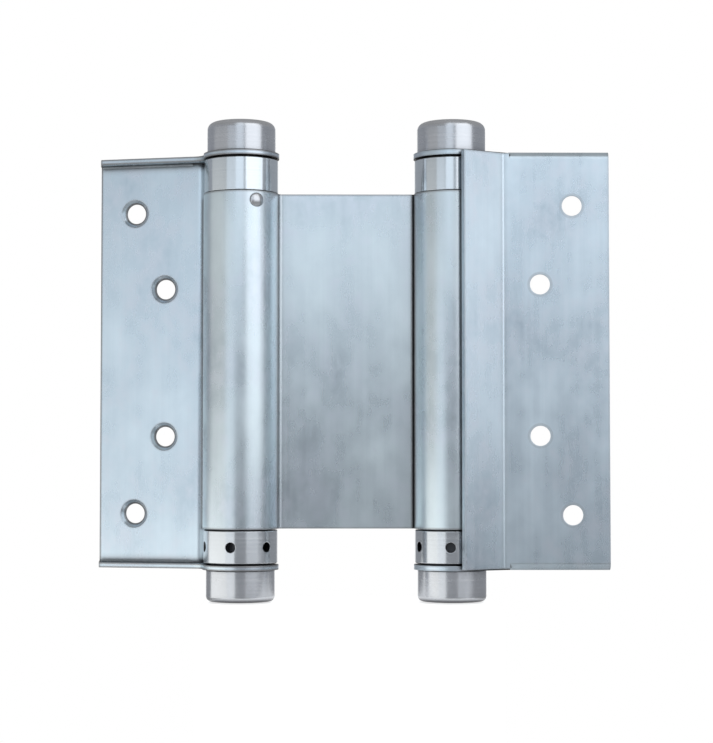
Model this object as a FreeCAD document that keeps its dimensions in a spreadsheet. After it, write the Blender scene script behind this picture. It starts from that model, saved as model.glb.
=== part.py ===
import FreeCAD, Part
import math
import os
import re

import Sketcher

# A double action spring hinge. Two leaves, each folded from sheet, swing on two sprung
# barrels, and one sheet makes the centre web and both barrels rolled at its ends.
# The origin is on the outer face of the jamb leaf, amid its screws. +Z runs up the barrels,
# +X from the web to the free edge of the jamb leaf, and -Y out of its mounting face.

# Driving sizes in millimetres and degrees
SIZES = {
    # Sheet, web and barrels
    "sheetThickness": 1.5,
    "axisSpacing": 63.4,
    "barrelRadius": 11.4,
    "webBend": 2.0,
    "seamGap": 0.4,
    # Leaf, measured from the axis of its barrel
    "leafHeight": 125,
    "leafReach": 46.8,
    "plateOffset": 6.6,
    "foldRadius": 2.2,
    "foldClearance": 5.6,
    "earSetback": 0.5,
    "earFillet": 4,
    "earSlant": 1.6,
    "neckRelief": 1.3,
    "lipAngle": 33,
    "lipBend": 1,
    "lipEdge": 2.3,
    "lipNotch": 0.5,
    "lipClearance": 0.9,
    "doorSwing": 14,
    # Screw holes
    "screwDiameter": 6,
    "sinkDiameter": 8.6,
    "sinkAngle": 90,
    "innerScrewReach": 26.1,
    "innerScrewSpacing": 45.2,
    "outerScrewReach": 35.7,
    "outerScrewSpacing": 92.3,
    # Spindle and caps, a cap's rim set in from the barrel's
    "spindleRadius": 4,
    "spindleEndGap": 0.1,
    "capInset": 1.1,
    "capHeight": 9.5,
    "topCapRound": 2.3,
    "bottomCapRound": 1.6,
    "capDome": 0.4,
    "capBore": 5,
    # Washers
    "washerInset": 2.4,
    "topWasher": 0.4,
    "bottomWasher": 0.35,
    "washerPlay": 0.1,
    # Plug, adjusting collar and their edges
    "plugInset": 0.3,
    "plugHead": 10.2,
    "plugShank": 9,
    "collarInset": 0.3,
    "collarGap": 0.35,
    "collarStub": 5,
    "stubClearance": 0.3,
    "edgeChamfer": 0.25,
    "tommyDiameter": 3.1,
    "tommyDepth": 4.5,
    "tommyCount": 6,
    "jambCollarTurn": -5,
    "doorCollarTurn": -13,
    # Rivet that holds the plug
    "rivetShank": 1.2,
    "rivetHead": 2.1,
    "rivetRise": 0.6,
    "rivetGrip": 3.2,
    "rivetDrop": 2.8,
    "rivetAzimuth": 116.4,
    # Torsion spring
    "wireRadius": 1.3,
    "coilRadius": 7.2,
    "springTurns": 21,
    "springClearance": 0.3,
    "tangRadius": 1.2,
    "tangLength": 4,
    "tangClearance": 0.15,
    # Fits, radial
    "fitClearance": 0.02,
    "runningClearance": 0.05,
}

# Sizes worked out from the driving ones
DERIVED = {
    "mountReach": "(innerScrewReach + outerScrewReach) / 2",
    "barrelInside": "barrelRadius - sheetThickness",
    "halfSheet": "sheetThickness / 2",
    "halfSpacing": "axisSpacing / 2",
    # Round pieces on the barrel's axis
    "earRadius": "barrelRadius",
    "capRadius": "barrelRadius - capInset",
    "washerRadius": "barrelRadius - washerInset",
    "plugRadius": "barrelRadius - plugInset",
    "collarRadius": "barrelRadius - collarInset",
    # Channel of the leaf
    "earInside": "leafHeight / 2 - sheetThickness",
    "foldInside": "foldRadius - sheetThickness",
    "foldStart": "barrelRadius + foldClearance",
    # Web bend: its centre line touches the barrel's from outside
    "bendReach": "sqrt((barrelRadius - halfSheet + webBend) ^ 2 - webBend ^ 2)",
    "webHalf": "halfSpacing - bendReach",
    "bendShare": "1 / (barrelRadius - halfSheet + webBend)",
    "bendCos": "bendReach * bendShare",
    "bendSin": "webBend * bendShare",
    "seamSin": "(halfSheet + seamGap) / barrelRadius",
    "seamCos": "sqrt(1 - seamSin ^ 2)",
    # Lip: its inner face runs clear of the barrel, lipSin and lipCos give its slant
    "lipSin": "sin(lipAngle * 1deg)",
    "lipCos": "cos(lipAngle * 1deg)",
    "lipInside": "barrelRadius + lipClearance",
    "lipHeight": "leafHeight - 2 * lipNotch",
    "lipRootY": "-plateOffset - lipBend",
    "lipRootX": "(lipInside + sheetThickness + lipBend + lipCos * lipRootY) / lipSin",
    "lipEdgeY": "(lipSin * lipEdge - lipInside) / lipCos",
    # Ear: a round end on the barrel axis, filleted into the straight edge, and a neck that
    # is relieved from the lip
    "filletX": "sqrt((earRadius + earFillet) ^ 2 - (earFillet - earSetback) ^ 2)",
    "filletShare": "earRadius / (earRadius + earFillet)",
    "neckY": "foldRadius - plateOffset",
    "reliefY": "sheetThickness + neckRelief - plateOffset",
    "neckReach": "sqrt(foldStart ^ 2 + reliefY ^ 2)",
    "neckCos": "earRadius / neckReach",
    "neckSin": "sqrt(1 - neckCos ^ 2)",
    # Heights in the stack on each barrel, which lies midway between the ears
    "plugTop": "earInside - topWasher - washerPlay",
    "plugSeat": "plugTop - plugHead",
    "plugEnd": "plugSeat - plugShank",
    "barrelLength": "2 * plugSeat",
    "collarTop": "-plugSeat - collarGap",
    "collarBase": "bottomWasher + washerPlay - earInside",
    "stubTop": "collarStub - plugSeat",
    "springLow": "stubTop + springClearance + wireRadius",
    "springHigh": "plugEnd - springClearance - wireRadius",
    "tangHole": "tangRadius + tangClearance",
    "tangHoleDepth": "tangLength + tangClearance",
    "rivetHeight": "plugSeat - rivetDrop",
    "spindleHalf": "leafHeight / 2 + capBore - spindleEndGap",
    "rivetDomeRadius": "(rivetHead ^ 2 + rivetRise ^ 2) / (2 * rivetRise)",
}

doc = FreeCAD.newDocument("DoubleActionHinge")
sheet = doc.addObject("Spreadsheet::Sheet", "Dims")
for row, (alias, size) in enumerate(SIZES.items(), start=1):
    sheet.set(f"A{row}", str(size))
    sheet.setAlias(f"A{row}", alias)
doc.recompute()


def bound(text):
    def swap(word):
        name = word[0]
        if name in DERIVED:
            return f"({bound(DERIVED[name])})"
        return f"Dims.{name}" if name in SIZES else name

    return re.sub(r"[A-Za-z]\w*", swap, text)


def number(text):
    return float(sheet.evalExpression(bound(text)))


def bind(item, prop, text):
    item.setExpression(prop, bound(text))


def newBody(label):
    body = doc.addObject("PartDesign::Body", label)
    body.Label = label
    return body


def originItem(body, role):
    return next(item for item in body.Origin.OriginFeatures if item.Role == role)


# A sketch on one of the body's own planes, lifted along its normal, or turned about +Z
def newSketch(body, name, role, lift="0", shift="0", turn="0"):
    sketch = body.newObject("Sketcher::SketchObject", name)
    sketch.AttachmentSupport = [(originItem(body, role), "")]
    sketch.MapMode = "FlatFace"
    sketch.AttachmentOffset = FreeCAD.Placement(FreeCAD.Vector(), FreeCAD.Vector(0, 1, 0), 1)
    bind(sketch, "AttachmentOffset.Base.x", shift)
    bind(sketch, "AttachmentOffset.Base.z", lift)
    bind(sketch, "AttachmentOffset.Rotation.Angle", f"({turn}) * 1deg")
    return sketch


def pin(sketch, item, end, x, y):
    for kind, axis, text in (("DistanceX", -2, x), ("DistanceY", -1, y)):
        if text == "0":
            sketch.addConstraint(Sketcher.Constraint("PointOnObject", item, end, axis))
            continue
        rule = sketch.addConstraint(Sketcher.Constraint(kind, -1, 1, item, end, number(text)))
        bind(sketch, f"Constraints[{rule}]", text)


def circle(sketch, x, y, radius):
    centre = FreeCAD.Vector(number(x), number(y), 0)
    item = sketch.addGeometry(Part.Circle(centre, FreeCAD.Vector(0, 0, 1), number(radius)), False)
    pin(sketch, item, 3, x, y)
    rule = sketch.addConstraint(Sketcher.Constraint("Radius", item, number(radius)))
    bind(sketch, f"Constraints[{rule}]", radius)


# An arc from start to finish that turns left or right, over more than half a turn if long
def arcBetween(start, finish, radius, turn, long):
    chord = finish - start
    left = FreeCAD.Vector(-chord.y, chord.x, 0).normalize()
    rise = math.sqrt(max(radius ** 2 - chord.Length ** 2 / 4, 0))
    side = 1 if (turn == "left") != long else -1
    centre = (start + finish) / 2 + left * (rise * side)
    first, last = (start, finish) if turn == "left" else (finish, start)
    angles = [math.atan2(point.y - centre.y, point.x - centre.x) for point in (first, last)]
    return Part.ArcOfCircle(Part.Circle(centre, FreeCAD.Vector(0, 0, 1), radius), *angles)


# A closed outline: each corner is (x, y), and (x, y, radius, turn, long) starts an arc
def outline(sketch, corners):
    points = [FreeCAD.Vector(number(corner[0]), number(corner[1]), 0) for corner in corners]
    edges = []
    for place, corner in enumerate(corners):
        finish = points[(place + 1) % len(points)]
        if len(corner) == 2:
            item = sketch.addGeometry(Part.LineSegment(points[place], finish), False)
            edges.append((item, 1, 2))
            continue
        radius, turn, long = corner[2:]
        arc = arcBetween(points[place], finish, number(radius), turn, long)
        item = sketch.addGeometry(arc, False)
        edges.append((item, 1, 2) if turn == "left" else (item, 2, 1))
    for place, (item, start, end) in enumerate(edges):
        following = edges[(place + 1) % len(edges)]
        sketch.addConstraint(Sketcher.Constraint("Coincident", item, end, *following[:2]))
        pin(sketch, item, start, *corners[place][:2])
    for (item, start, end), corner in zip(edges, corners):
        if len(corner) > 2:
            rule = sketch.addConstraint(Sketcher.Constraint("Radius", item, number(corner[2])))
            bind(sketch, f"Constraints[{rule}]", corner[2])


def pad(body, name, sketch, length, side="One side", back=False):
    feature = body.newObject("PartDesign::Pad", name)
    feature.Profile = sketch
    feature.SideType = side
    feature.Reversed = back
    bind(feature, "Length", length)
    return feature


# A cut along the sketch's normal, or against it, that has to take some metal away
def pocket(body, name, sketch, length=None, side="One side", along=True):
    doc.recompute()
    before = body.Shape.Volume
    feature = body.newObject("PartDesign::Pocket", name)
    feature.Profile = sketch
    feature.SideType = side
    feature.Reversed = along
    if length:
        bind(feature, "Length", length)
    else:
        feature.Type = "ThroughAll"
    doc.recompute()
    if body.Shape.Volume >= before:
        raise ValueError(f"{name} of {body.Label} cuts nothing")
    return feature


def revolve(body, name, corners, axis="V_Axis"):
    sketch = newSketch(body, f"{name}Profile", "XZ_Plane")
    outline(sketch, corners)
    feature = body.newObject("PartDesign::Revolution", name)
    feature.Profile = sketch
    feature.ReferenceAxis = (sketch, [axis])
    return feature


def place(item, x, y, z="0", turn="0", axis=(0, 0, 1)):
    item.Placement = FreeCAD.Placement(FreeCAD.Vector(), FreeCAD.Vector(*axis), 1)
    for name, text in (("x", x), ("y", y), ("z", z)):
        bind(item, f"Placement.Base.{name}", text)
    bind(item, "Placement.Rotation.Angle", f"({turn}) * 1deg")


# One leaf with its barrel axis at the origin: a channel of plate and two folded ears, the
# round and slanted ends of the ears, and the lip that slants out past the barrel
def makeLeaf(label):
    body = newBody(label)
    section = newSketch(body, "ChannelSection", "YZ_Plane", lift="foldStart")
    half = "leafHeight / 2"
    outline(section, [
        ("-earSetback", half),
        ("neckY", half, "foldRadius", "left", False),
        ("-plateOffset", f"{half} - foldRadius"),
        ("-plateOffset", f"foldRadius - {half}", "foldRadius", "left", False),
        ("neckY", f"-{half}"),
        ("-earSetback", f"-{half}"),
        ("-earSetback", "-earInside"),
        ("neckY", "-earInside", "foldInside", "right", False),
        ("sheetThickness - plateOffset", f"foldRadius - {half}"),
        ("sheetThickness - plateOffset", f"{half} - foldRadius", "foldInside", "right", False),
        ("neckY", "earInside"),
        ("-earSetback", "earInside"),
    ])
    pad(body, "Channel", section, "leafReach - foldStart")
    ear = newSketch(body, "EarOutline", "XY_Plane", lift="earInside")
    outline(ear, [
        ("foldStart", "reliefY"),
        ("foldStart", "-earSetback"),
        ("filletX", "-earSetback", "earFillet", "right", False),
        ("filletX * filletShare", "(earFillet - earSetback) * filletShare", "earRadius", "left", True),
        (
            "earRadius * (neckCos * foldStart + neckSin * reliefY) / neckReach",
            "earRadius * (neckCos * reliefY - neckSin * foldStart) / neckReach",
        ),
    ])
    topEar = pad(body, "TopEar", ear, "sheetThickness")
    bottomEar = body.newObject("PartDesign::Mirrored", "BottomEar")
    bottomEar.Originals = [topEar]
    bottomEar.MirrorPlane = (originItem(body, "XY_Plane"), [""])
    body.Tip = bottomEar
    slant = newSketch(body, "EarSlant", "XY_Plane")
    outline(slant, [
        ("leafReach", "neckY"),
        ("leafReach", "-earSetback"),
        ("leafReach - earSlant", "-earSetback"),
    ])
    pocket(body, "EarEnds", slant, side="Symmetric")
    lip = newSketch(body, "LipOutline", "XY_Plane")
    outline(lip, [
        ("foldStart", "-plateOffset"),
        ("lipRootX", "-plateOffset", "lipBend", "left", False),
        ("lipRootX - lipBend * lipSin", "lipRootY + lipBend * lipCos"),
        ("lipEdge + sheetThickness * lipSin", "lipEdgeY - sheetThickness * lipCos"),
        ("lipEdge", "lipEdgeY"),
        (
            "lipRootX - (lipBend + sheetThickness) * lipSin",
            "lipRootY + (lipBend + sheetThickness) * lipCos",
            "lipBend + sheetThickness", "right", False,
        ),
        ("lipRootX", "sheetThickness - plateOffset"),
        ("foldStart", "sheetThickness - plateOffset"),
    ])
    pad(body, "Lip", lip, "lipHeight", side="Symmetric")
    bore = newSketch(body, "SpindleBore", "XY_Plane")
    circle(bore, "0", "0", "spindleRadius + fitClearance")
    pocket(body, "SpindleHoles", bore, side="Symmetric")
    screws = newSketch(body, "ScrewCentres", "XZ_Plane", lift="plateOffset - sheetThickness")
    for reach, spacing in (
        ("innerScrewReach", "innerScrewSpacing"),
        ("outerScrewReach", "outerScrewSpacing"),
    ):
        for sign in ("", "-"):
            circle(screws, reach, f"{sign}{spacing} / 2", "screwDiameter / 2")
    doc.recompute()
    before = body.Shape.Volume
    holes = body.newObject("PartDesign::Hole", "ScrewHoles")
    holes.Profile = screws
    holes.DepthType = "ThroughAll"
    holes.Reversed = True
    holes.HoleCutType = "Countersink"
    holes.HoleCutCustomValues = True
    bind(holes, "Diameter", "screwDiameter")
    bind(holes, "HoleCutDiameter", "sinkDiameter")
    bind(holes, "HoleCutCountersinkAngle", "sinkAngle * 1deg")
    doc.recompute()
    if body.Shape.Volume >= before:
        raise ValueError(f"the screw holes of {label} cut nothing")
    return body


# The web with both barrels, centred between their axes: the jamb barrel starts behind the web
# and closes in front of it, the door barrel is the same turned half round
def makeWeb(label):
    body = newBody(label)
    profile = newSketch(body, "SheetProfile", "XY_Plane")
    half = [
        ("webHalf", "-halfSheet", "webBend + halfSheet", "left", False),
        ("halfSpacing - barrelInside * bendCos", "barrelInside * bendSin", "barrelInside", "right", True),
        ("halfSpacing - barrelInside * seamCos", "-barrelInside * seamSin"),
        ("halfSpacing - barrelRadius * seamCos", "-barrelRadius * seamSin", "barrelRadius", "left", True),
        (
            "halfSpacing - barrelRadius * bendCos", "barrelRadius * bendSin",
            "webBend - halfSheet", "right", False,
        ),
        ("webHalf", "halfSheet"),
    ]
    turned = [(f"-({x})", f"-({y})", *arc) for x, y, *arc in half]
    outline(profile, half + turned)
    pad(body, "Sheet", profile, "barrelLength", side="Symmetric")
    for name, shift, turn in (("Jamb", "halfSpacing", "90"), ("Door", "-halfSpacing", "270")):
        hole = newSketch(body, f"{name}RivetHole", "XZ_Plane", shift=shift, turn=f"rivetAzimuth + {turn}")
        circle(hole, "0", "rivetHeight", "rivetShank + fitClearance")
        pocket(body, f"{name}RivetCut", hole, length="barrelRadius * 2")
    return body


# The plug in the top of a barrel: its head sits on the barrel's end, its shank takes the rivet
# from the side and the spring's upper tang from below
def makePlug(label):
    body = newBody(label)
    bore = "spindleRadius + runningClearance"
    shank = "barrelInside - fitClearance"
    revolve(body, "Turned", [
        (bore, "plugEnd"),
        (shank, "plugEnd"),
        (shank, "plugSeat"),
        ("plugRadius - edgeChamfer", "plugSeat"),
        ("plugRadius", "plugSeat + edgeChamfer"),
        ("plugRadius", "plugTop - edgeChamfer"),
        ("plugRadius - edgeChamfer", "plugTop"),
        (bore, "plugTop"),
    ])
    hole = newSketch(body, "RivetHole", "XZ_Plane", turn="rivetAzimuth + 90")
    circle(hole, "0", "rivetHeight", "rivetShank + fitClearance")
    pocket(body, "RivetCut", hole, length="barrelRadius")
    tang = newSketch(body, "TangHole", "XY_Plane", lift="plugEnd")
    circle(tang, "coilRadius", "-wireRadius", "tangHole")
    pocket(body, "TangCut", tang, length="tangHoleDepth")
    return body


# The adjusting collar: tommy bar holes round its rim, a stub that runs inside the barrel and
# takes the spring's lower tang
def makeCollar(label):
    body = newBody(label)
    bore = "spindleRadius + runningClearance"
    stub = "barrelInside - stubClearance"
    revolve(body, "Turned", [
        (bore, "collarBase"),
        ("collarRadius - edgeChamfer", "collarBase"),
        ("collarRadius", "collarBase + edgeChamfer"),
        ("collarRadius", "collarTop - edgeChamfer"),
        ("collarRadius - edgeChamfer", "collarTop"),
        (stub, "collarTop"),
        (stub, "stubTop"),
        (bore, "stubTop"),
    ])
    tang = newSketch(body, "TangHole", "XY_Plane", lift="stubTop")
    circle(tang, "coilRadius", "wireRadius", "tangHole")
    pocket(body, "TangCut", tang, length="tangHoleDepth", along=False)
    hole = newSketch(body, "TommyHole", "XZ_Plane", lift="collarRadius - tommyDepth")
    circle(hole, "0", "(collarTop + collarBase) / 2", "tommyDiameter / 2")
    cut = pocket(body, "TommyCut", hole, length="tommyDepth * 2")
    ring = body.newObject("PartDesign::PolarPattern", "TommyHoles")
    ring.Originals = [cut]
    ring.Axis = (originItem(body, "Z_Axis"), [""])
    ring.Angle = 360
    bind(ring, "Occurrences", "tommyCount")
    body.Tip = ring
    return body


def makeRivet(label):
    body = newBody(label)
    seat = "barrelRadius + fitClearance"
    revolve(body, "Turned", [
        ("barrelRadius - rivetGrip", "0"),
        (f"{seat} + rivetRise", "0", "rivetDomeRadius", "left", False),
        (seat, "rivetHead"),
        (seat, "rivetShank"),
        ("barrelRadius - rivetGrip", "rivetShank"),
    ], axis="H_Axis")
    return body


# A torsion spring that rises from the collar to the plug, with a tang down into the one and
# up into the other
def makeSpring(label, collarTurn):
    body = newBody(label)
    wire = newSketch(body, "WireSection", "XZ_Plane")
    circle(wire, "coilRadius", "springLow", "wireRadius")
    coil = body.newObject("PartDesign::AdditiveHelix", "Coil")
    coil.Profile = wire
    coil.ReferenceAxis = (wire, ["V_Axis"])
    coil.Mode = "height-turns-angle"
    bind(coil, "Height", "springHigh - springLow")
    bind(coil, "Turns", f"springTurns - {collarTurn} / 360")
    lower = newSketch(body, "LowerTang", "XY_Plane", lift="springLow")
    circle(lower, "coilRadius", "wireRadius", "tangRadius")
    pad(body, "LowerTangPad", lower, "springLow - stubTop + tangLength", back=True)
    upper = newSketch(body, "UpperTang", "XY_Plane", lift="springHigh")
    angleCos, angleSin = f"cos({collarTurn} * 1deg)", f"sin({collarTurn} * 1deg)"
    circle(
        upper,
        f"coilRadius * {angleCos} - wireRadius * {angleSin}",
        f"-coilRadius * {angleSin} - wireRadius * {angleCos}",
        "tangRadius",
    )
    pad(body, "UpperTangPad", upper, "plugEnd - springHigh + tangLength")
    return body


def makeCap(label, edgeRound):
    body = newBody(label)
    bore = "spindleRadius + fitClearance"
    shoulder = f"capRadius - {edgeRound}"
    domeRadius = f"(({shoulder}) ^ 2 + capDome ^ 2) / (2 * capDome)"
    revolve(body, "Turned", [
        (bore, "0"),
        ("capRadius - edgeChamfer", "0"),
        ("capRadius", "edgeChamfer"),
        ("capRadius", f"capHeight - {edgeRound}", edgeRound, "left", False),
        (shoulder, "capHeight", domeRadius, "left", False),
        ("0", "capHeight + capDome"),
        ("0", "capBore"),
        (bore, "capBore"),
    ])
    return body


def makeWasher(label, thickness):
    body = newBody(label)
    ring = newSketch(body, "Ring", "XY_Plane")
    circle(ring, "0", "0", "washerRadius")
    circle(ring, "0", "0", "spindleRadius + runningClearance")
    pad(body, "Disc", ring, thickness)
    return body


def makeSpindle(label):
    rod = doc.addObject("Part::Cylinder", label)
    rod.Label = label
    bind(rod, "Radius", "spindleRadius")
    bind(rod, "Height", "spindleHalf * 2")
    return rod


axisY = "plateOffset"
web = makeWeb("centre_web")
place(web, "-mountReach - halfSpacing", axisY)
nodes = [web]
for side, axisX, barrelTurn, leafTurn, collarTurn in (
    ("jamb", "-mountReach", "0", "0", "jambCollarTurn"),
    ("door", "-mountReach - axisSpacing", "180", "180 - doorSwing", "doorCollarTurn"),
):
    leaf = makeLeaf(f"{side}_leaf")
    place(leaf, axisX, axisY, turn=leafTurn)
    plug = makePlug(f"{side}_top_plug")
    place(plug, axisX, axisY, turn=barrelTurn)
    rivet = makeRivet(f"{side}_plug_rivet")
    place(rivet, axisX, axisY, z="rivetHeight", turn=f"{barrelTurn} + rivetAzimuth")
    spring = makeSpring(f"{side}_spring", collarTurn)
    place(spring, axisX, axisY, turn=f"{barrelTurn} + {collarTurn}")
    collar = makeCollar(f"{side}_adjusting_collar")
    place(collar, axisX, axisY, turn=f"{barrelTurn} + {collarTurn}")
    spindle = makeSpindle(f"{side}_spindle")
    place(spindle, axisX, axisY, z="-spindleHalf")
    topCap = makeCap(f"{side}_top_cap", "topCapRound")
    place(topCap, axisX, axisY, z="leafHeight / 2")
    bottomCap = makeCap(f"{side}_bottom_cap", "bottomCapRound")
    place(bottomCap, axisX, axisY, z="-leafHeight / 2", turn="180", axis=(1, 0, 0))
    topWasher = makeWasher(f"{side}_top_washer", "topWasher")
    place(topWasher, axisX, axisY, z="earInside - topWasher")
    bottomWasher = makeWasher(f"{side}_bottom_washer", "bottomWasher")
    place(bottomWasher, axisX, axisY, z="-earInside")
    nodes += [
        leaf, plug, rivet, spring, collar, spindle, topCap, bottomCap, topWasher, bottomWasher,
    ]

doc.recompute()
for item in doc.Objects:
    if "Invalid" in item.State or "Error" in item.State:
        raise ValueError(f"{item.Label} failed: {item.State}")
for node in nodes:
    if node.Shape.isNull() or not node.Shape.isValid() or len(node.Shape.Solids) != 1:
        raise ValueError(f"{node.Label} is not one valid solid")

os.makedirs("parts", exist_ok=True)
for node in nodes:
    node.Shape.exportStep(f"parts/{node.Label}.step")
    print(f"{node.Label}: {node.Shape.Volume:.1f} mm3")
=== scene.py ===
import math

import bmesh
import bpy
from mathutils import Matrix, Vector


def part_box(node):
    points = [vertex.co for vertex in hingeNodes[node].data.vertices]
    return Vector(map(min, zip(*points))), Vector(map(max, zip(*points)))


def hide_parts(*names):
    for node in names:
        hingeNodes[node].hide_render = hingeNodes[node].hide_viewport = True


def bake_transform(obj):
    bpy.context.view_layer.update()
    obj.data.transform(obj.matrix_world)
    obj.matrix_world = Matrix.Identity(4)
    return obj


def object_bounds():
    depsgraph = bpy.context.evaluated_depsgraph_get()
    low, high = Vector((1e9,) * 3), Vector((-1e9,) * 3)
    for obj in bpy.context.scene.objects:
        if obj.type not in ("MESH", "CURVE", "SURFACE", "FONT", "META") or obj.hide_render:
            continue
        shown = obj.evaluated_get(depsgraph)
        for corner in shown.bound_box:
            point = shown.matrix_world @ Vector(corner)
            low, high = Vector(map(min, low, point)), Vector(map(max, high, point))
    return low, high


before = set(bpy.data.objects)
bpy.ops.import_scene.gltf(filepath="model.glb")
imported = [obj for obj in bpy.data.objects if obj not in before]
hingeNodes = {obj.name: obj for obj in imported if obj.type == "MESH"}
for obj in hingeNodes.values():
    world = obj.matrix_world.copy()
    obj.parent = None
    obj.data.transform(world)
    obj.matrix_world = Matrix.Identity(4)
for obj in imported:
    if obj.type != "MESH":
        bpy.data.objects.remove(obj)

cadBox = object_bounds()
print("frame loaded,", len(hingeNodes), "nodes")


class Wire:
    # one output socket, so that shader maths reads as plain expressions
    def __init__(self, bench, socket):
        self.bench, self.socket = bench, socket

    def maths(self, operation, left, right):
        return self.bench.add("ShaderNodeMath", {"operation": operation}, {0: left, 1: right})

    def __add__(self, other):
        return self.maths("ADD", self, other)

    def __radd__(self, other):
        return self.maths("ADD", other, self)

    def __sub__(self, other):
        return self.maths("SUBTRACT", self, other)

    def __rsub__(self, other):
        return self.maths("SUBTRACT", other, self)

    def __mul__(self, other):
        return self.maths("MULTIPLY", self, other)

    def __rmul__(self, other):
        return self.maths("MULTIPLY", other, self)

    def __pow__(self, other):
        return self.maths("POWER", self, other)

    def __rpow__(self, other):
        return self.maths("POWER", other, self)


class Bench:
    # where the nodes of one material or of the world are put together
    def __init__(self, tree):
        self.tree = tree
        tree.nodes.clear()

    def add(self, kind, settings=None, sockets=None, out=0):
        node = self.tree.nodes.new(kind)
        for name, value in (settings or {}).items():
            if name == "stops":
                fillRamp(node.color_ramp, value)
            else:
                setattr(node, name, value)
        for name, value in (sockets or {}).items():
            if isinstance(value, Wire):
                self.tree.links.new(value.socket, node.inputs[name])
            else:
                node.inputs[name].default_value = value
        return Wire(self, node.outputs[out]) if node.outputs else node

    def limit(self, value, low=0.0, high=1.0):
        return self.add("ShaderNodeClamp", None, {"Value": value, "Min": low, "Max": high})

    def fade(self, value, start, end):
        # 0 at start, 1 at end, smooth between
        return self.add("ShaderNodeMapRange", {"interpolation_type": "SMOOTHSTEP"},
                        {"Value": value, "From Min": start, "From Max": end})

    def blend(self, factor, first, second):
        return self.add("ShaderNodeMix", {"data_type": "RGBA"},
                        {0: factor, 6: first, 7: second}, 2)

    def weigh(self, marks, weights, total=0.0):
        # total, plus each mark times its weight
        for kind, weight in weights.items():
            total = total + weight * marks[kind]
        return total

    def noise(self, vector, spread, detail, roughness):
        # swings about 0, roughly -0.5 to 0.5; spread is how many swings to the metre each way
        stretched = self.add("ShaderNodeVectorMath", {"operation": "MULTIPLY"},
                             {0: vector, 1: spread})
        return self.add("ShaderNodeTexNoise", None, {
            "Vector": stretched, "Scale": 1.0, "Detail": detail,
            "Roughness": roughness}, "Fac") - 0.5

    def rings(self, travel, spread, detail):
        # the same in one direction only
        return self.add("ShaderNodeTexNoise", {"noise_dimensions": "1D"}, {
            "W": travel * spread, "Scale": 1.0, "Detail": detail}, "Fac") - 0.5


def fillRamp(ramp, stops):
    while len(ramp.elements) < len(stops):
        ramp.elements.new(1.0)
    for element, (position, colour) in zip(ramp.elements, stops):
        element.position, element.color = position, colour


def colour(red, green, blue):
    return (red, green, blue, 1.0)


def grey(level):
    return colour(level, level, level)


def newMaterial(name):
    material = bpy.data.materials.new(name)
    material.use_nodes = True
    return material, Bench(material.node_tree)


def placeOn(bench):
    return bench.add("ShaderNodeTexCoord", None, None, "Object")


def speckle(bench, place, look):
    return {kind: bench.noise(place, *grain) for kind, grain in look["grain"].items()}


# the last step of every finish: marks vary the roughness and the relief
def finishSurface(bench, look, marks, baseColour, normal):
    roughness = bench.weigh(marks, look["roughening"], look["roughness"])
    height = bench.weigh(marks, look["relief"])
    bumped = bench.add("ShaderNodeBump", None, {
        "Strength": 1.0, "Distance": 1.0, "Height": height, "Normal": normal})
    surface = bench.add("ShaderNodeBsdfPrincipled", None, {
        "Base Color": baseColour, "Metallic": look["metallic"], "Normal": bumped,
        "Roughness": bench.limit(roughness, *look["roughnessLimits"]),
        "Anisotropic": look["anisotropy"], "Anisotropic Rotation": look["grainTurn"]})
    bench.add("ShaderNodeOutputMaterial", None, {"Surface": surface})


edgeFinder = {"bevelSamples": 6, "gain": 5, "shadeSamples": 8}


def roundedEdges(bench, radius):
    # the soft normal over sharp edges, and a mask that is 1 along them
    soft = bench.add("ShaderNodeBevel", {"samples": edgeFinder["bevelSamples"]}, {"Radius": radius})
    sharp = bench.add("ShaderNodeNewGeometry", None, None, "True Normal")
    facing = bench.add("ShaderNodeVectorMath", {"operation": "DOT_PRODUCT"},
                       {0: soft, 1: sharp}, "Value")
    return soft, bench.limit((1 - facing) * edgeFinder["gain"])


def shade(bench, reach, **settings):
    return bench.add("ShaderNodeAmbientOcclusion",
                     {"samples": edgeFinder["shadeSamples"], **settings}, {"Distance": reach}, "AO")


def crevices(bench, look):
    # two masks for painted shade: one for creases and narrow gaps, one for any inward corner
    near, wide = shade(bench, look["gapReach"]), shade(bench, look["cornerReach"])
    return bench.fade(near, *look["gapRange"]), bench.fade(wide, *look["cornerRange"])


def shearedRims(bench, look):
    # 1 on the cut edges of a sheet and close beside them, where the metal inside is thin
    thickness = shade(bench, look["rimReach"], inside=True, only_local=True)
    return bench.fade(thickness, *look["rimRange"])


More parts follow.
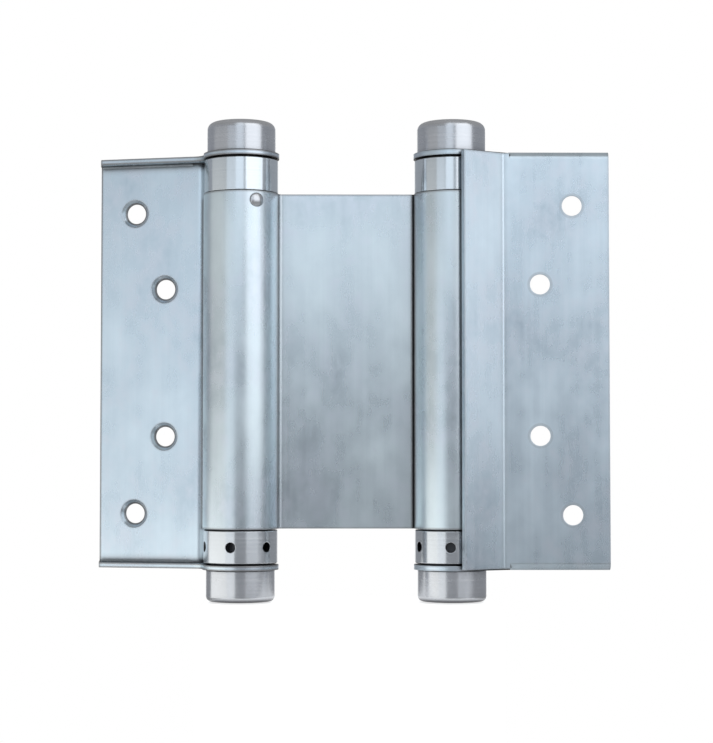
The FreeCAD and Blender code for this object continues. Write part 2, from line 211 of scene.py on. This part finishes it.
sheetLook = {
    "dark": colour(0.54, 0.635, 0.71),
    "light": colour(0.745, 0.86, 0.935),
    "lilac": colour(0.69, 0.74, 0.815),
    # painted shade for inward corners and sideways faces
    "paintedShade": colour(0.31, 0.30, 0.30),
    # painted shade for creases and narrow gaps
    "creaseShade": colour(0.055, 0.052, 0.052),
    # cut edges: partly bare sheared steel, partly painted shade
    "shearedAndShaded": colour(0.24, 0.222, 0.215),
    "metallic": 1.0,
    "anisotropy": 0.42,
    "grainTurn": 0.0,       # rougher across the upright grain
    "edge": 0.00028,
    "cornerReach": 0.003,
    "cornerRange": (0.99, 0.80),
    "cornerShading": 0.30,
    "sideShading": 0.0,
    "gapReach": 0.002,
    "gapRange": (0.97, 0.70),
    "gapShading": 0.9,
    "rimReach": 0.0008,
    "rimRange": (0.97, 0.70),
    "rimShearAndShade": 0.8,
    "grain": {              # swings to the metre along X, Y and Z, detail, roughness
        "fine": ((1300, 1300, 20), 1, 0.5),
        "streak": ((520, 520, 8), 2, 0.6),
        "cloud": ((52, 52, 34), 3, 0.5),
        "spot": ((210, 210, 150), 2, 0.6),
    },
    "midTone": 0.5,
    "tone": {"cloud": 2.0, "streak": 0.4, "fine": 0.1, "spot": 0.6},
    "lilacPatches": {"spot": 1.0, "cloud": -0.8},
    "lilacRange": (-0.1, 0.3),
    "lilacShare": 0.55,
    "roughness": 0.28,
    "roughening": {"cloud": 0.14, "streak": 0.05, "spot": 0.08, "gap": 0.12, "rim": 0.06},
    "roughnessLimits": (0.08, 0.8),
    "relief": {"fine": 0.25e-6, "streak": 0.5e-6, "cloud": 8e-5},
}
jambLook = {**sheetLook, "rimShearAndShade": 0.25}    # its outer face is rolled over at edges and holes
webLook = {
    **sheetLook,
    "dark": colour(0.555, 0.63, 0.68),
    "light": colour(0.755, 0.855, 0.895),
    "paintedShade": colour(0.355, 0.335, 0.33),
    "cornerReach": 0.010,
    "cornerRange": (0.97, 0.62),
    "cornerShading": 0.15,
    "sideShading": 1.2,     # painted shade on the barrels' sides, where they face along the web
    "gapRange": (0.94, 0.60),
    "rimShearAndShade": 0.5,
}


def brushedSheet(name, look):
    material, bench = newMaterial(name)
    marks = speckle(bench, placeOn(bench), look)
    soft = roundedEdges(bench, look["edge"])[0]
    marks["gap"], corner = crevices(bench, look)
    marks["rim"] = shearedRims(bench, look)

    tone = bench.limit(bench.weigh(marks, look["tone"], look["midTone"]))
    plated = bench.blend(tone, look["dark"], look["light"])
    patches = bench.fade(bench.weigh(marks, look["lilacPatches"]), *look["lilacRange"])
    tinted = bench.blend(patches * look["lilacShare"], plated, look["lilac"])
    # cut edges and hole rims darkened: partly bare sheared steel, partly painted shade
    edged = bench.blend(marks["rim"] * look["rimShearAndShade"], tinted, look["shearedAndShaded"])
    # painted shade: faces turned along X are darkened, on the web the barrels' sides
    normal = bench.add("ShaderNodeTexCoord", None, None, "Normal")
    sideways = bench.add("ShaderNodeSeparateXYZ", None, {"Vector": normal}, "X")
    shading = look["cornerShading"] + look["sideShading"] * sideways ** 2
    # painted shade: inward corners, and faces turned sideways, blended towards a dark grey
    shaded = bench.blend(corner * shading, edged, look["paintedShade"])
    # painted shade: creases and narrow gaps blended towards near black
    baseColour = bench.blend(marks["gap"] * look["gapShading"], shaded, look["creaseShade"])
    finishSurface(bench, look, marks, baseColour, soft)
    return material


turnedLook = {
    "dark": colour(0.515, 0.535, 0.565),
    "light": colour(0.72, 0.735, 0.765),
    # painted shade for inward corners
    "paintedShade": colour(0.33, 0.34, 0.36),
    # painted shade for creases and narrow gaps
    "creaseShade": colour(0.05, 0.05, 0.055),
    "metallic": 1.0,
    "anisotropy": 0.45,
    "grainTurn": 0.25,      # rougher along the barrel, across the tool lines
    "edge": 0.00025,
    "cornerReach": 0.004,
    "cornerRange": (0.97, 0.62),
    "cornerShading": 0.3,
    "gapReach": 0.004,
    "gapRange": (0.75, 0.2),
    "gapShading": 0.9,
    "toolLines": (5200, 2.0),       # rings to the metre, detail
    "toolBands": (900, 3.0),
    "grain": {"smear": ((150, 150, 45), 3, 0.6)},
    "midTone": 0.5,
    "tone": {"lines": 0.5, "bands": 0.4, "smear": 0.6, "edge": 0.3},
    "roughness": 0.25,
    "roughening": {"bands": 0.10, "smear": 0.14, "gap": 0.15, "edge": -0.05},
    "roughnessLimits": (0.08, 0.8),
    "relief": {"lines": 1.2e-6, "bands": 2.5e-6, "smear": 2e-5},
}
collarLook = {
    **turnedLook,
    "dark": colour(0.54, 0.57, 0.60),
    "light": colour(0.75, 0.78, 0.81),
    "roughness": 0.2,
}
plugLook = {
    **turnedLook,
    "dark": colour(0.60, 0.65, 0.69),
    "light": colour(0.80, 0.855, 0.89),
    "roughness": 0.17,
}
barrelAxes = {"jamb": (-0.0309, 0.0066, 0.0), "door": (-0.0943, 0.0066, 0.0)}


def turnedSteel(name, look, axis):
    material, bench = newMaterial(name)
    place = placeOn(bench)
    fromAxis = bench.add("ShaderNodeVectorMath", {"operation": "SUBTRACT"}, {0: place, 1: axis})
    outward = bench.add("ShaderNodeVectorMath", {"operation": "MULTIPLY"},
                        {0: fromAxis, 1: (1, 1, 0)})
    radius = bench.add("ShaderNodeVectorMath", {"operation": "LENGTH"}, {0: outward}, "Value")
    along = bench.add("ShaderNodeSeparateXYZ", None, {"Vector": place}, "Z")
    travel = radius + along     # grows along the barrel and across its end faces
    marks = speckle(bench, place, look)
    marks["lines"] = bench.rings(travel, *look["toolLines"])
    marks["bands"] = bench.rings(travel, *look["toolBands"])
    soft, marks["edge"] = roundedEdges(bench, look["edge"])
    marks["gap"], corner = crevices(bench, look)

    tone = bench.limit(bench.weigh(marks, look["tone"], look["midTone"]))
    bright = bench.blend(tone, look["dark"], look["light"])
    # painted shade: inward corners blended towards a dark grey
    shaded = bench.blend(corner * look["cornerShading"], bright, look["paintedShade"])
    # painted shade: creases and narrow gaps blended towards near black
    baseColour = bench.blend(marks["gap"] * look["gapShading"], shaded, look["creaseShade"])
    finishSurface(bench, look, marks, baseColour, soft)
    return material


springLook = {
    "dark": colour(0.10, 0.10, 0.11),
    "light": colour(0.32, 0.32, 0.335),
    "metallic": 1.0,
    "anisotropy": 0.2,
    "grainTurn": 0.0,
    "grain": {"oil": ((420, 420, 420), 4, 0.6), "draw": ((2600, 2600, 700), 2, 0.5)},
    "midTone": 0.5,
    "tone": {"oil": 1.0, "draw": 0.5},
    "roughness": 0.36,
    "roughening": {"oil": 0.3},
    "roughnessLimits": (0.12, 0.8),
    "relief": {"draw": 3e-6, "oil": 6e-6},
}
washerLook = {
    "dark": colour(0.012, 0.012, 0.013),
    "light": colour(0.045, 0.045, 0.048),
    "metallic": 0.0,
    "anisotropy": 0.0,
    "grainTurn": 0.0,
    "grain": {"mould": ((2400, 2400, 2400), 3, 0.5)},
    "midTone": 0.4,
    "tone": {"mould": 1.0},
    "roughness": 0.5,
    "roughening": {"mould": 0.25},
    "roughnessLimits": (0.2, 0.9),
    "relief": {"mould": 8e-6},
}


# spring wire and washers: one grain all over, no worn edges
def plainFinish(name, look):
    material, bench = newMaterial(name)
    marks = speckle(bench, placeOn(bench), look)
    normal = bench.add("ShaderNodeNewGeometry", None, None, "Normal")
    tone = bench.limit(bench.weigh(marks, look["tone"], look["midTone"]))
    baseColour = bench.blend(tone, look["dark"], look["light"])
    finishSurface(bench, look, marks, baseColour, normal)
    return material


def dress(names, material):
    for name in names:
        mesh = hingeNodes[name].data
        mesh.materials.clear()
        mesh.materials.append(material)


dress(["jamb_leaf"], brushedSheet("jamb_leaf_sheet", jambLook))
dress(["door_leaf"], brushedSheet("door_leaf_sheet", sheetLook))
dress(["centre_web"], brushedSheet("web_sheet", webLook))
nylon = plainFinish("washer_nylon", washerLook)
for side, axis in barrelAxes.items():
    dress([side + piece for piece in ("_spindle", "_top_cap", "_bottom_cap", "_plug_rivet")],
          turnedSteel(side + "_turned_steel", turnedLook, axis))
    dress([side + "_top_plug"], turnedSteel(side + "_plug_steel", plugLook, axis))
    dress([side + "_adjusting_collar"], turnedSteel(side + "_collar_steel", collarLook, axis))
    dress([side + "_top_washer", side + "_bottom_washer"], nylon)
print("finishes on")

spring = {
    "still": 0.008,         # stretch at each end, where the plug or collar holds it
    "joint": 0.003,         # stretch on each side of the middle, where the leaf holds it
    "weld": 1e-6,
}


def addPiece(name, mesh, material):
    data = bpy.data.meshes.new(name)
    mesh.to_mesh(data)
    mesh.free()
    data.materials.append(material)
    piece = bpy.data.objects.new(name, data)
    bpy.context.scene.collection.objects.link(piece)
    return piece


# A spring winds up as its leaf or its collar turns: its upper half between web and leaf, its lower
# half between leaf and collar.
# Here it is only cut at its middle into these two halves, and the cut ends are closed.
def windSpring(side, look, material):
    node = hingeNodes[side + "_spring"]
    leaf, collar = side + "_leaf_body", side + "_collar_body"
    low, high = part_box(node.name)
    middle = (low[2] + high[2]) / 2
    halves = {
        "upper": (1, "centre_body", leaf, high[2] - look["still"], middle + look["joint"]),
        "lower": (-1, leaf, collar, middle - look["joint"], low[2] + look["still"]),
    }
    for half, (way, first, second, start, end) in halves.items():
        mesh = bmesh.new()
        mesh.from_mesh(node.data)
        bmesh.ops.remove_doubles(mesh, verts=mesh.verts, dist=look["weld"])
        bmesh.ops.bisect_plane(mesh, geom=mesh.verts[:] + mesh.edges[:] + mesh.faces[:],
                               plane_co=(0, 0, middle), plane_no=(0, 0, way), clear_inner=True)
        bmesh.ops.holes_fill(mesh, edges=[edge for edge in mesh.edges if edge.is_boundary])
        coil = addPiece(f"{side}_spring_{half}_half", mesh, material)
        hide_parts(node.name)
        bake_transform(coil)


wire = plainFinish("spring_wire", springLook)
for side, axis in barrelAxes.items():
    windSpring(side, spring, wire)

plinth = {
    "width": 0.090,         # a block under the two barrels, so that the leaves stand clear of it
    "front": -0.011,
    "back": 0.034,
    "height": 0.18,
    "edgeRadius": 0.003,
    "pale": grey(0.80),
    "mottle": grey(0.83),
    "glow": grey(0.72),     # painted light, stronger in front and on top than on the sides
    "sideGlow": grey(0.22),
}
floor = {
    "width": 2.4,
    "front": -0.45,
    "back": 0.85,
    "height": 0.02,
    "edgeRadius": 0.004,
    "pale": grey(0.74),
    "mottle": grey(0.78),
    "glow": grey(0.0),
    "sideGlow": grey(0.0),
}
slabPaint = {
    "mottle": ((40, 40, 40), 3, 0.5),
    "midTone": 0.5,
    "roughness": 0.7,
    "gloss": 0.2,
    "glowGain": 4,          # how abruptly the glow ends at the rounded edges
}
slabSegments = 6


def paintSlab(name, look):
    material, bench = newMaterial(name)
    mottle = bench.noise(placeOn(bench), *slabPaint["mottle"])
    paint = bench.blend(bench.limit(slabPaint["midTone"] + mottle), look["pale"], look["mottle"])
    cameraRay, glossyRay, clearRay = [
        bench.add("ShaderNodeLightPath", None, None, ray)
        for ray in ("Is Camera Ray", "Is Glossy Ray", "Is Transmission Ray")]
    seen = bench.limit(cameraRay + glossyRay + clearRay)
    normal = bench.add("ShaderNodeTexCoord", None, None, "Normal")
    backward, upward = [bench.add("ShaderNodeSeparateXYZ", None, {"Vector": normal}, way)
                        for way in ("Y", "Z")]
    # painted light: front and top faces glow more than the sides, for camera, glossy and
    # transmission rays
    forward = bench.limit((upward - backward) * slabPaint["glowGain"])
    glow = bench.blend(forward, look["sideGlow"], look["glow"])
    surface = bench.add("ShaderNodeBsdfPrincipled", None, {
        "Base Color": paint, "Roughness": slabPaint["roughness"],
        "Specular IOR Level": slabPaint["gloss"],
        "Emission Color": bench.blend(seen, grey(0.0), glow), "Emission Strength": 1.0})
    bench.add("ShaderNodeOutputMaterial", None, {"Surface": surface})
    return material


def makeSlab(name, look, top, centreX):
    depth = look["back"] - look["front"]
    mesh = bmesh.new()
    bmesh.ops.create_cube(mesh, size=1.0)
    bmesh.ops.scale(mesh, vec=(look["width"], depth, look["height"]), verts=mesh.verts)
    bmesh.ops.translate(mesh, verts=mesh.verts,
                        vec=(centreX, look["front"] + depth / 2, top - look["height"] / 2))
    bmesh.ops.bevel(mesh, geom=mesh.edges[:], offset=look["edgeRadius"], segments=slabSegments,
                    profile=0.5, affect="EDGES")
    slab = addPiece(name, mesh, paintSlab(name + "_paint", look))


hingeCentre = (Vector(cadBox[0]) + Vector(cadBox[1])) / 2
hingeFoot = cadBox[0][2]
makeSlab("pale_plinth", plinth, hingeFoot, hingeCentre.x)
makeSlab("pale_floor", floor, hingeFoot - plinth["height"], hingeCentre.x)

studio = {
    "whiteEdge": (0.925, 0.953),    # how far round the back the white reaches
    "surround": [           # from straight down to straight up
        (0.0, grey(0.38)),
        (0.42, grey(0.32)),
        (0.5, colour(0.335, 0.35, 0.38)),
        (0.60, colour(0.365, 0.38, 0.41)),
        (0.80, grey(0.38)),
        (1.0, grey(0.42)),
    ],
}


def makeSurround(look):
    world = bpy.data.worlds.new("studio")
    world.use_nodes = True
    bpy.context.scene.world = world
    bench = Bench(world.node_tree)
    direction = bench.add("ShaderNodeTexCoord", None, None, "Generated")
    backward, upward = [bench.add("ShaderNodeSeparateXYZ", None, {"Vector": direction}, way)
                        for way in ("Y", "Z")]
    ring = bench.add("ShaderNodeValToRGB", {"stops": look["surround"]},
                     {"Fac": upward * 0.5 + 0.5}, "Color")
    white = bench.fade(backward, *look["whiteEdge"])
    light = bench.add("ShaderNodeBackground", None, {
        "Color": bench.blend(white, ring, grey(1.0)), "Strength": 1.0})
    bench.add("ShaderNodeOutputWorld", None, {"Surface": light})


makeSurround(studio)

# Panels stand round the hinge: angles in degrees to the right of straight in front of it,
# heights in metres in the hinge's frame.
keyTint, skyTint = (0.97, 1.0, 1.03), (0.90, 1.0, 1.09)
panels = {
    "key_panel": {"from": 14.5, "to": 58, "distance": 1.0, "low": 0.04, "high": 1.15,
                  "brightness": 1.08, "tint": keyTint},
    "low_key_panel": {"from": 19, "to": 58, "distance": 1.0, "low": -0.105, "high": 0.04,
                      "brightness": 0.68, "tint": keyTint},
    "lip_panel": {"from": 58, "to": 71, "distance": 1.0, "low": -0.035, "high": 1.15,
                  "brightness": 0.98, "tint": keyTint},
    "front_panel": {"from": -18, "to": 7, "distance": 0.66, "low": 0.052, "high": 0.90,
                    "brightness": 0.69, "tint": skyTint},
    "jamb_panel": {"from": 7, "to": 16, "distance": 0.66, "low": 0.085, "high": 0.90,
                   "brightness": 0.15, "tint": skyTint},
    "leaf_panel": {"from": -46, "to": -19, "distance": 0.5, "low": -0.078, "high": 0.15,
                   "brightness": 0.54, "tint": (0.92, 1.0, 1.06)},
    "side_panel": {"from": -100, "to": -46, "distance": 0.5, "low": -0.058, "high": 0.14,
                   "brightness": 0.32, "tint": (1.0, 0.97, 0.87)},
    "low_leaf_panel": {"from": -46, "to": -19, "distance": 0.5, "low": -0.20, "high": -0.082,
                       "brightness": 1.0, "tint": (1.0, 1.0, 0.98)},
    "low_panel": {"from": -112, "to": -46, "distance": 0.5, "low": -0.20, "high": -0.058,
                  "brightness": 1.1, "tint": (1.0, 1.0, 0.96)},
}


def hangPanel(name, look):
    middle = math.radians((look["from"] + look["to"]) / 2)
    half = math.radians((look["to"] - look["from"]) / 2)
    light = bpy.data.lights.new(name, "AREA")
    light.shape = "RECTANGLE"
    light.color = look["tint"]
    light.size = 2 * look["distance"] * math.tan(half)
    light.size_y = look["high"] - look["low"]
    light.energy = look["brightness"] * math.pi * light.size * light.size_y
    lamp = bpy.data.objects.new(name, light)
    lamp.location = (hingeCentre.x + look["distance"] * math.sin(middle),
                     hingeCentre.y - look["distance"] * math.cos(middle),
                     (look["low"] + look["high"]) / 2)
    lamp.rotation_euler = (math.pi / 2, 0, middle)
    lamp.visible_camera = False
    bpy.context.scene.collection.objects.link(lamp)


for name, look in panels.items():
    hangPanel(name, look)
print("plinth, floor, surround and panels up")

view = {
    "place": (-0.063785, -0.5934, -0.029961),
    "tilt": 2.558,          # degrees up from level
    "turn": -0.406,
    "lens": 96.65,
    "sensor": 36,
}


def placeCamera(look):
    lens = bpy.data.cameras.new("photo_camera")
    lens.lens = look["lens"]
    lens.sensor_width = look["sensor"]
    camera = bpy.data.objects.new("photo_camera", lens)
    camera.location = look["place"]
    camera.rotation_euler = (math.radians(90 + look["tilt"]), 0, math.radians(look["turn"]))
    bpy.context.scene.collection.objects.link(camera)
    bpy.context.scene.camera = camera


placeCamera(view)
bpy.context.scene.view_settings.view_transform = "Standard"
print("camera set")
